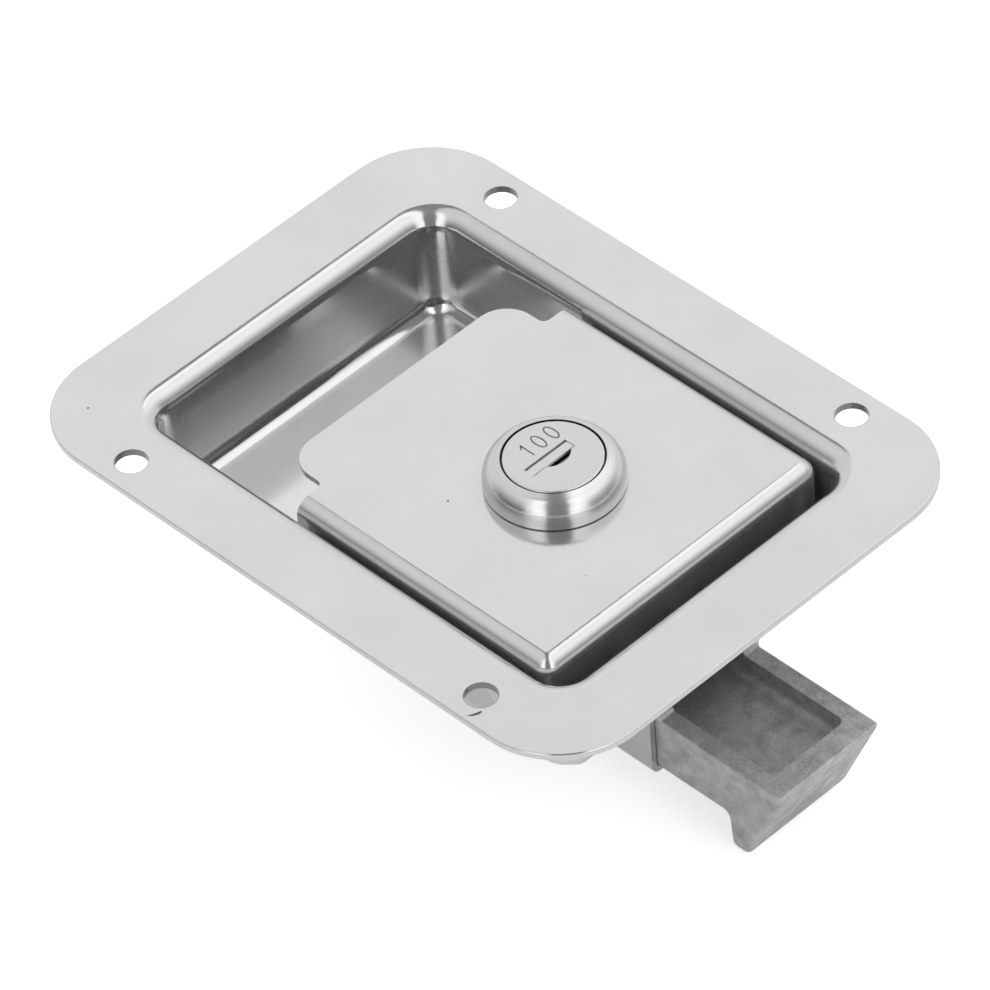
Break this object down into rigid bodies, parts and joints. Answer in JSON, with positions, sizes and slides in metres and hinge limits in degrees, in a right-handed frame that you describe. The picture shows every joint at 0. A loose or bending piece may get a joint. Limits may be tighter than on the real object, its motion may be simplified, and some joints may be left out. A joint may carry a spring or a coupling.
{
  "type": "paddle latch",
  "caption": "Flush paddle latch: polished drawn dish with a keyed lifting paddle that draws back a bevelled spring bolt.",
  "frame": {"origin": "centre of the four mounting holes, on the face plate's back", "axes": "+X along the plate towards the bolt, +Z out of the face"},
  "size_m": [0.1518, 0.106, 0.0527],
  "materials": {
    "stainless": "mirror polished stainless sheet",
    "lock_chrome": "bright plated",
    "plug_face": "satin plated",
    "lock_zinc": "plain zinc casting",
    "plain_steel": "zinc plated",
    "spring_steel": "drawn wire",
    "brass": "stamped",
    "nylon": "matt",
    "cast_zinc": "matt, mottled as cast",
    "housing_steel": "plain sheet"
  },
  "bodies": {
    "frame": {"pan": "stainless", "bolt_housing": "housing_steel", "hinge_pin": "plain_steel", "hinge_clip": "spring_steel", "hinge_spacers": "nylon", "cam_keeper": "plain_steel", "bolt_spring": "spring_steel", "spring_rod": "plain_steel", "paddle_spring": "spring_steel"},
    "handle": {"paddle": "stainless", "drive_lever": "plain_steel", "lock_ring": "lock_chrome", "lock_body": "lock_zinc", "lock_nut": "lock_zinc", "lock_washer": "plain_steel"},
    "latch_bolt": {"bolt": "cast_zinc"},
    "key_plug": {"lock_plug": "plug_face", "lock_cam": "plain_steel", "cam_screw": "plain_steel", "cam_washer": "plain_steel", "shutter_pin": "spring_steel"},
    "shutter": {"dust_shutter": "spring_steel"},
    "wafers": {"lock_wafers": "brass"}
  },
  "joints": [
    {"name": "paddle_hinge", "type": "hinge", "parent": "frame", "child": "handle", "pos_m": [0.04, 0, -0.0065], "axis": [0, 1, 0], "range_deg": [0, 36], "stiffness_Nm_per_rad": 0.15, "springref_deg": -34.38, "deforming": ["paddle_spring"]},
    {"name": "bolt_slide", "type": "slide", "parent": "frame", "child": "latch_bolt", "axis": [-1, 0, 0], "range_m": [0, 0.0127], "stiffness_N_per_m": 700, "springref_m": -0.02, "deforming": ["bolt_spring"]},
    {"name": "lock_turn", "type": "hinge", "parent": "handle", "child": "key_plug", "pos_m": [0.016, 0, 0.0011], "axis": [0, 0, 1], "range_deg": [0, 90]},
    {"name": "shutter_swing", "type": "hinge", "parent": "key_plug", "child": "shutter", "pos_m": [0.0152, -0.0007, 0.00625], "axis": [0, 1, 0], "range_deg": [0, 75], "stiffness_Nm_per_rad": 0.00006, "springref_deg": -28.65},
    {"name": "wafer_slide", "type": "slide", "parent": "key_plug", "child": "wafers", "axis": [0, -1, 0], "range_m": [0, 0.0007]}
  ],
  "couplings": [
    {"joint": "bolt_slide", "follows": "paddle_hinge", "m_per_rad": 0.0202}
  ]
}
